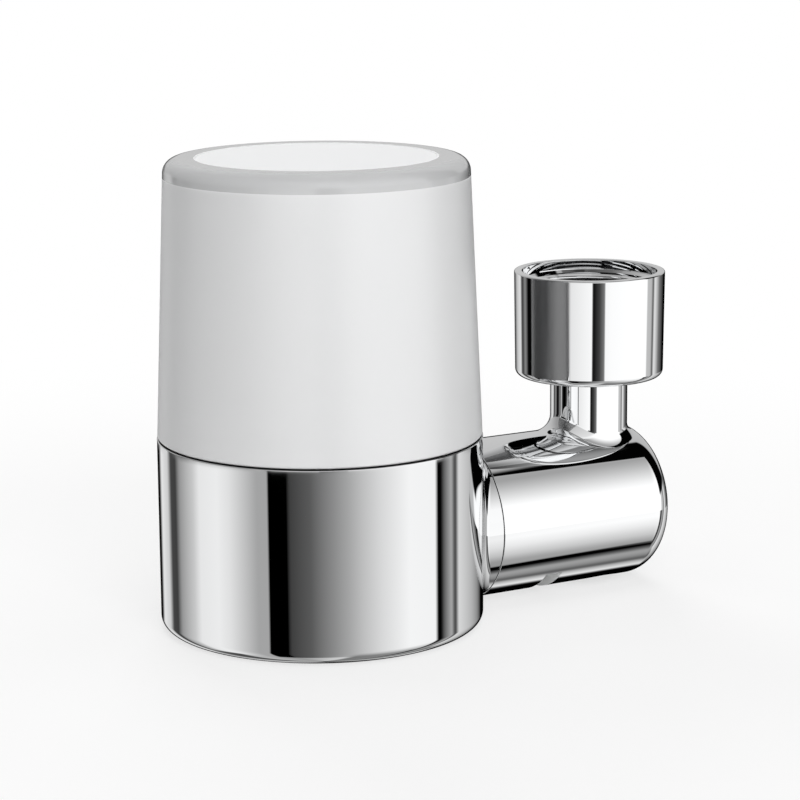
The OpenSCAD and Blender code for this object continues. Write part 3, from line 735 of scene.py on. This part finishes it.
@dataclass
class TapNut:
    """The chrome swivel nut with its turned thread, in mm."""

    place: float = 69.0
    foot_z: float = 47.3
    height: float = 23.9
    rim_radius: float = 16.95
    foot_radius: float = 16.7
    edge: float = 1.6
    chamfer: float = 0.3
    rim_edge: float = 0.4
    mouth_edge: float = 0.25
    hole: float = 9.0
    floor: float = 2.6
    mouth: float = 15.15
    mouth_depth: float = 2.2
    crest: float = 13.45
    root: float = 14.05
    pitch: float = 1.0
    flank: float = 0.42
    lead_in: float = 0.6
    thread_gap: float = 0.1
    relief: float = 13.9
    relief_top: float = 8.25
    turns: int = 12
    thread_steps: int = 96

    def body(self) -> bpy.types.Object:
        """Turns the nut's body."""
        top, step = self.height, self.height - self.mouth_depth
        outline = [(self.hole, self.chamfer), (self.hole + self.chamfer, 0),
                   (self.foot_radius - self.edge, 0)]
        outline += arc((self.foot_radius - self.edge, self.edge), self.edge, -90, 0, 16)[1:]
        outline += arc((self.rim_radius - self.rim_edge, top - self.rim_edge), self.rim_edge, 0, 90, 8)
        outline += arc((self.mouth + self.mouth_edge, top - self.mouth_edge), self.mouth_edge, 90, 180, 6)
        outline += [(self.mouth, step), (self.root + self.lead_in, step), (self.root, step - self.lead_in),
                    (self.root, self.relief_top), (self.relief, self.relief_top),
                    (self.relief, self.floor), (self.hole, self.floor)]
        body = spun("nut_body", outline, Axis.UP, Vector((0, self.place, self.foot_z)))
        soften(body)
        return body

    def thread(self) -> bpy.types.Object:
        """Winds the thread's turns inside the nut."""
        piece = drawn("thread", [
            (self.root, 0), (self.crest, self.flank * self.pitch),
            (self.crest, (1 - self.flank) * self.pitch), (self.root, self.pitch)])
        bpy.ops.object.mode_set(mode="OBJECT")
        wind = piece.modifiers.new("wind", "SCREW")
        wind.angle, wind.screw_offset, wind.iterations = 2 * math.pi, self.pitch * MM, self.turns
        wind.steps = wind.render_steps = self.thread_steps
        wind.use_merge_vertices, wind.merge_threshold = True, WOUND_SPOT
        bpy.ops.object.modifier_apply(modifier=wind.name)
        settle(piece, Vector((0, self.place, self.foot_z + self.relief_top + self.thread_gap)))
        face = piece.data.polygons[0]
        outwards = face.center - Vector((0, self.place * MM, 0))
        if outwards.xy.dot(face.normal.xy) > 0:
            piece.data.flip_normals()
        bpy.ops.object.shade_smooth_by_angle(angle=math.radians(20))
        return piece

    def build(self, chrome: bpy.types.Material) -> bpy.types.Object:
        """Builds the nut as one piece on the nut body."""
        piece = joined("tap_nut", [self.body(), self.thread()])
        dress(piece, chrome)
        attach(piece, "nut")
        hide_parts("connector_nut")
        return piece


@dataclass
class FilterCover:
    """The frosted cover with its clear edge, painted grey for shade, and its white top, with a painted
    highlight line at the shoulder, in mm.
    """

    seam_z: float = 41.6
    height: float = 59.6
    foot_radius: float = 34.9
    top_radius: float = 32.4
    edge: float = 3.1
    wall: float = 2.6
    roof: float = 5.0
    spigot_radius: float = 29.9
    spigot_wall: float = 2.0
    spigot_reach: float = 3.8
    spigot_ease: float = 2.0
    ease_end: float = 4.5
    roof_chamfer: float = 1.0
    foot_chamfer: float = 0.3
    clear_depth: float = 4.2
    # Width of the painted highlight line at the clear edge's shoulder.
    shoulder_line: float = 0.25
    disc_radius: float = 25.4
    disc_sink: float = 0.12
    disc_zone: float = 1.0
    inside_tilt: float = -0.2
    rim_line: float = 0.35

    def outline(self) -> list[Point]:
        """The cover's section, from its top's middle round the outside and back inside."""
        slope = (self.top_radius - self.foot_radius) / self.height
        lean = math.sqrt(1 + slope * slope)
        edge_z = self.height - self.edge
        edge_x = self.foot_radius + slope * edge_z - self.edge * lean
        tilt = math.degrees(math.atan(-slope))
        shoulder = self.height - self.clear_depth

        def wall_at(z: float) -> float:
            """The outer radius at a height."""
            return self.foot_radius + slope * z

        top, sink, line, bevel = self.height, self.disc_sink, self.shoulder_line, self.foot_chamfer
        points = [(0, top - sink), (self.disc_radius, top - sink),
                  (self.disc_radius + sink, top), (self.disc_radius + sink + self.rim_line, top)]
        points += list(reversed(arc((edge_x, edge_z), self.edge, tilt, 90, 24)))
        points += [(wall_at(shoulder + line), shoulder + line), (wall_at(shoulder), shoulder)]
        spigot_in, ceiling = self.spigot_radius - self.spigot_wall, top - self.roof
        roof_in = wall_at(ceiling) - self.wall
        points += [(wall_at(bevel), bevel), (wall_at(0) - bevel, 0), (self.spigot_radius, 0),
                   (self.spigot_radius, -self.spigot_reach), (spigot_in, -self.spigot_reach),
                   (spigot_in, self.spigot_ease), (self.foot_radius - self.wall, self.ease_end),
                   (roof_in, ceiling - self.roof_chamfer), (roof_in - self.roof_chamfer, ceiling),
                   (0, ceiling)]
        return points

    def zone(self, height: float, reach: float) -> int:
        """The number of an outside face's finish.

        Args:
            height: The face's height above the seam.
            reach: The face's distance from the cover's axis.

        Returns:
            0 for the frosted wall, 1 for the clear edge in painted shade, 2 for the disc on top and the line
            at the shoulder, which is a painted highlight.
        """
        shoulder = self.height - self.clear_depth
        disc_end = self.disc_radius + self.disc_sink + self.rim_line
        on_disc = height > self.height - self.disc_zone and reach < disc_end
        if on_disc or shoulder < height < shoulder + self.shoulder_line:
            return 2
        return 1 if height > shoulder else 0

    def build(self, wall: bpy.types.Material, clear: bpy.types.Material,
              top: bpy.types.Material) -> bpy.types.Object:
        """Builds the cover as one piece, with its zones dressed, on the cover body."""
        piece = spun("filter_cover", self.outline(), Axis.UP, Vector((0, 0, self.seam_z)))
        soften(piece)
        # The clear edge wears painted shade, and the line at the shoulder a painted highlight.
        dress(piece, wall, clear, top)
        for face in piece.data.polygons:
            if face.normal.z > self.inside_tilt:
                face.material_index = self.zone(face.center.z / MM - self.seam_z, face.center.xy.length / MM)
        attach(piece, "cover")
        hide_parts("cover")
        return piece


@dataclass
class Fittings:
    """The fittings that keep their solid's shape, by finish."""

    chrome: tuple[str, ...] = ("diverter_lever", "outlet_nozzle")
    white: tuple[str, ...] = (
        "manifold", "base_plate", "flow_regulator", "coupling_sleeve", "raw_outlet", "diverter_drum",
        "swivel_collar", "cartridge_base", "core_tube", "cartridge_cap")
    steel: tuple[str, ...] = ("plate_screws", "outlet_screen", "inlet_screen")
    rubber: tuple[str, ...] = (
        "sleeve_seals", "drum_seals", "connector_washer", "cartridge_seals", "cover_seal")
    ceramic: tuple[str, ...] = ("port_disc",)
    carbon: tuple[str, ...] = ("carbon_block",)
    fleece: tuple[str, ...] = ("cartridge_fleece",)

    def dress(self, nodes: dict[str, bpy.types.Object], finishes: dict[str, bpy.types.Material]) -> None:
        """Gives each fitting its finish.

        Args:
            nodes: The frame's solids by name.
            finishes: The finish of each of the fields.
        """
        for kind, material in finishes.items():
            for name in getattr(self, kind):
                dress(nodes[name], material)
                log.info("%s wears %s", name, material.name)


# Studio


def round_place(angle: float) -> float:
    """An angle right of the camera, in degrees, as a place from 0 to 1 round the object."""
    return (angle + 180) / 360


@dataclass(frozen=True)
class Panel:
    """A studio panel seen in the chrome: from one angle to another, right of the camera, in degrees."""

    start: float
    end: float
    grey: float
    grey_end: float

    def stops(self) -> list[Point]:
        """The panel's two ends as places round the object and levels."""
        return [(round_place(self.start), linear(self.grey)), (round_place(self.end), linear(self.grey_end))]


# What stands round the object below eye level, where the upright faces of the base look.
LOW_PANELS = (
    Panel(-180, -157, 0, 20), Panel(-150, -136, 228, 205), Panel(-130, -122, 68, 62),
    Panel(-116, -100, 150, 200), Panel(-93, -76, 232, 238), Panel(-66, -44, 226, 165),
    Panel(-36.4, -35.2, 165, 0), Panel(-22, -20.5, 0, 62), Panel(-6, 10, 90, 140),
    Panel(22, 44, 170, 214), Panel(66, 88.8, 242, 240), Panel(91, 95, 4, 4),
    Panel(97, 106, 80, 170), Panel(109, 111.5, 82, 82), Panel(115, 134, 216, 180),
    Panel(146, 156, 140, 0),
)
# A little higher, where the nut and the neck look.
MIDDLE_PANELS = (
    Panel(-180, -162, 0, 90), Panel(-150, -136, 190, 218), Panel(-131, -127, 70, 70),
    Panel(-121, -120, 130, 130), Panel(-113, -105, 4, 4), Panel(-102.5, -99.5, 110, 110),
    Panel(-97, -53, 72, 78), Panel(-50, -45, 100, 170), Panel(-42, -36, 192, 140), Panel(-32, 0, 226, 246),
    Panel(1.5, 4, 12, 20), Panel(12, 19.5, 62, 118), Panel(21, 95, 244, 255),
    Panel(97, 106, 188, 183), Panel(111, 116, 70, 224),
    Panel(131, 150, 112, 0),
)
# Above eye level.
HIGH_PANELS = (
    Panel(-180, -150, 190, 182), Panel(-140, -104, 176, 142), Panel(-90, -40, 150, 165),
    Panel(-30, 15, 190, 215), Panel(24, 91.2, 252, 252), Panel(92.2, 131, 2, 2),
    Panel(135, 162, 176, 184), Panel(168, 180, 186, 190),
)
# Overhead.
TOP_PANELS = (
    Panel(-180, -120, 178, 150), Panel(-90, -40, 100, 80), Panel(-20, 60, 75, 95),
    Panel(80, 120, 150, 175), Panel(150, 180, 190, 186),
)
# Below the object.
UNDER_PANELS = (
    Panel(-180, -150, 90, 200), Panel(-120, -80, 80, 70), Panel(-70, -20, 190, 150),
    Panel(10, 84, 200, 252), Panel(85.5, 92, 2, 2), Panel(98, 105, 95, 150),
    Panel(110, 119, 150, 133), Panel(128, 133, 94, 94), Panel(141, 153, 170, 222),
    Panel(160, 180, 86, 60),
)

# How the white panel on the right grows darker below and above, by the sine of the rise.
FADE = (
    (-0.84, 0.25), (-0.73, 0.36), (-0.64, 0.60), (-0.55, 0.75), (-0.47, 0.88), (-0.32, 1.05),
    (0.33, 1.0), (0.44, 0.86), (0.59, 0.63), (0.77, 0.335),
)
# Where that panel stands, as angles and the share of the fade.
FADED_SIDE = ((20, 0.0), (30, 1.0), (91.2, 1.0), (92.2, 0.0))


@dataclass(frozen=True)
class Lamp:
    """A soft square lamp, which the chrome doesn't mirror.

    Args:
        name: The lamp's name.
        turn: Degrees to the right of the camera, round the object.
        rise: Degrees above level.
        away: Distance from the object in metres.
        size: Side of the lamp in metres.
        power: Power in watts.
    """

    name: str
    turn: float
    rise: float
    away: float
    size: float
    power: float

    def hang(self, facing: float, middle: Vector) -> None:
        """Hangs the lamp, turned towards the object's middle."""
        data = bpy.data.lights.new(self.name, "AREA")
        data.shape, data.size, data.energy = "SQUARE", self.size, self.power
        lamp = bpy.data.objects.new(self.name, data)
        bpy.context.collection.objects.link(lamp)
        azimuth, climb = math.radians(facing + self.turn), math.radians(self.rise)
        level = math.cos(climb)
        way = Vector((math.cos(azimuth) * level, math.sin(azimuth) * level, math.sin(climb)))
        lamp.matrix_world = Matrix.Translation(middle + way * self.away) @ (
            (-way).to_track_quat("-Z", "Y").to_matrix().to_4x4())
        lamp.visible_glossy = lamp.visible_camera = lamp.visible_transmission = False


LAMPS = (
    Lamp("key", 12, 28, 1.0, 0.6, 5.5), Lamp("back", 192, 28, 1.0, 0.6, 4.8),
    Lamp("left", -120, 18, 1.1, 0.4, 1.5), Lamp("right", 136, 18, 1.1, 0.4, 1.1),
    Lamp("top", 60, 84, 0.9, 0.8, 3.5),
)


@dataclass
class Studio:
    """Camera, lights, panels and floor, in metres.

    The edge between the two rows below eye level is given by sines of the rise, and bows round the object.
    The other rows start between two rises in degrees.
    """

    camera_place: Vector = field(default_factory=lambda: Vector((0.514085, -0.271394, 0.168869)))
    target: Vector = field(default_factory=lambda: Vector((0.0084827, 0.0149766, 0.04862)))
    roll: float = -0.431
    focal_px: float = 2766.26
    frame_px: float = 800.0
    sensor: float = 36.0
    clip: Point = (0.01, 20)
    facing: float = -29.5
    middle: Vector = field(default_factory=lambda: Vector((0, 0.01, 0.05)))
    soft_level: float = 0.12
    panel_level: float = 1.1
    edge_height: float = 0.2151
    edge_bow: float = 0.0107
    edge_blur: float = 0.002
    high_from: Point = (1, 5)
    top_from: Point = (56.5, 59)
    under_from: Point = (-45, -51)
    floor_size: float = 6.0
    floor_z: float = -0.0002
    floor_shades: tuple[Point, ...] = ((0.0, 0.9), (1.0, 0.92))
    floor_fade: Point = (0.1, 0.32)
    floor_glow: Point = (0.66, 1.0)

    def camera(self) -> None:
        """Sets the camera up at the photograph's angle."""
        data = bpy.data.cameras.new("view")
        data.sensor_width = self.sensor
        data.lens = self.sensor * self.focal_px / self.frame_px
        data.clip_start, data.clip_end = self.clip
        camera = bpy.data.objects.new("view", data)
        bpy.context.collection.objects.link(camera)
        ahead = (self.target - self.camera_place).normalized()
        roll = Matrix.Rotation(math.radians(self.roll), 3, "Z")
        turn = ahead.to_track_quat("-Z", "Y").to_matrix() @ roll
        camera.matrix_world = Matrix.Translation(self.camera_place) @ turn.to_4x4()
        bpy.context.scene.camera = camera

    def panels(self, tree: Tree) -> Socket:
        """Lays the rows of panels over one another by height, and returns the room's colour."""
        way = tree.add("ShaderNodeSeparateXYZ", {0: tree.add("ShaderNodeTexCoord").outputs["Generated"]})
        x, y, z = way.outputs
        turn = tree.math("DIVIDE", tree.math("ARCTAN2", y, x), 2 * math.pi)
        place = tree.math("WRAP", tree.math("ADD", turn, 0.5 - self.facing / 360), 1.0, 0.0)
        low, middle, high, top, under = (
            tree.ramp(place, [stop for panel in row for stop in panel.stops()])
            for row in (LOW_PANELS, MIDDLE_PANELS, HIGH_PANELS, TOP_PANELS, UNDER_PANELS))
        half = tree.math("MULTIPLY", tree.math("SUBTRACT", place, 0.5), math.pi)
        edge = tree.math("MULTIPLY_ADD", tree.math("COSINE", half), self.edge_bow, self.edge_height)
        above = tree.ranged(tree.math("ADD", z, edge), (-self.edge_blur, self.edge_blur))
        room = tree.mixed(above, low, middle)
        for rises, row in ((self.high_from, high), (self.top_from, top), (self.under_from, under)):
            sines = tuple(math.sin(math.radians(rise)) for rise in rises)
            room = tree.mixed(tree.ranged(z, sines, smooth=True), room, row)
        fade = tree.ramp(tree.math("MULTIPLY_ADD", z, 0.5, 0.5), [((h + 1) / 2, level) for h, level in FADE])
        side = tree.ramp(place, [(round_place(angle), share) for angle, share in FADED_SIDE])
        return tree.mixed(side, room, fade, "MULTIPLY")

    def world(self) -> None:
        """Shows the panels to reflections, white to the camera, and a plain soft level to the rest."""
        world = bpy.data.worlds.new("studio")
        bpy.context.scene.world = world
        tree = Tree.of(world)
        room = self.panels(tree)
        path = tree.add("ShaderNodeLightPath")
        plain = tree.add("ShaderNodeBackground", {0: (1, 1, 1, 1), 1: self.soft_level})
        painted_reflection_grey = tree.add("ShaderNodeBackground", {0: room, 1: self.panel_level})
        white = tree.add("ShaderNodeBackground", {0: (1, 1, 1, 1), 1: 1.0})
        shown = tree.add("ShaderNodeMixShader", {
            0: path.outputs["Is Glossy Ray"], 1: plain.outputs[0], 2: painted_reflection_grey.outputs[0]})
        clear = tree.math("MAXIMUM", path.outputs["Is Camera Ray"], path.outputs["Is Transmission Ray"])
        shown = tree.add("ShaderNodeMixShader", {0: clear, 1: shown.outputs[0], 2: white.outputs[0]})
        tree.add("ShaderNodeOutputWorld", {0: shown.outputs[0]})

    def floor(self) -> None:
        """Lays the plain pale floor, which fades to the background and keeps the shadow."""
        bpy.ops.object.select_all(action="DESELECT")
        bpy.ops.mesh.primitive_grid_add(
            x_subdivisions=8, y_subdivisions=8, size=self.floor_size, location=(0, 0, self.floor_z))
        floor = bpy.context.object
        floor.name = "floor"
        surface = Surface.named("pale_floor")
        tree = surface.tree
        noise = tree.add("ShaderNodeTexNoise", {"Vector": surface.place, "Scale": 3.0}).outputs[0]
        matt = tree.add("ShaderNodeBsdfDiffuse", {0: tree.ramp(noise, self.floor_shades)})
        glow = tree.add("ShaderNodeEmission", {0: (1, 1, 1, 1), 1: 1.0})
        in_camera = tree.add("ShaderNodeLightPath").outputs["Is Camera Ray"]
        reach = tree.add("ShaderNodeVectorMath", {0: surface.place}, operation="LENGTH").outputs["Value"]
        far = tree.ranged(reach, self.floor_fade, self.floor_glow, smooth=True)
        share = tree.math("MULTIPLY", in_camera, far)
        mixed = tree.add("ShaderNodeMixShader", {0: share, 1: matt.outputs[0], 2: glow.outputs[0]})
        tree.add("ShaderNodeOutputMaterial", {0: mixed.outputs[0]})
        dress(floor, surface.material)
        floor.visible_glossy = floor.visible_transmission = False

    def build(self) -> None:
        """Sets the whole studio up."""
        self.camera()
        self.world()
        for lamp in LAMPS:
            lamp.hang(self.facing, self.middle)
        self.floor()
        bpy.context.scene.view_settings.view_transform = "Standard"


def main() -> None:
    """Builds the studio and every piece in order."""
    logging.basicConfig(level=logging.INFO, format="%(message)s")
    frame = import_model()
    Studio().build()
    chrome, white = CHROME.make(), WHITE.make()
    pieces = [
        BaseHousing().build(SHADED_BASE_CHROME.make()),
        DiverterTube().build(BRIGHTENED_TUBE_CHROME.make(), white),
        TapNut().build(chrome),
        FilterCover().build(FrostedWall().make(), SHADED_CLEAR_EDGE.make(), TOP_WHITE_AND_LINE_HIGHLIGHT.make()),
    ]
    for piece in pieces:
        log.info("%s: %d faces", piece.name, len(piece.data.polygons))
    Fittings().dress(frame["nodes"], {
        "chrome": chrome, "white": white, "steel": SteelSheet().make(), "rubber": RUBBER.make(),
        "ceramic": CERAMIC.make(), "carbon": PressedCarbon().make(), "fleece": Fleece().make()})
    for name in ("base_shell", "tube_shell", "connector_nut", "cover"):
        dress(frame["nodes"][name], chrome)


if __name__ == "__main__":
    main()
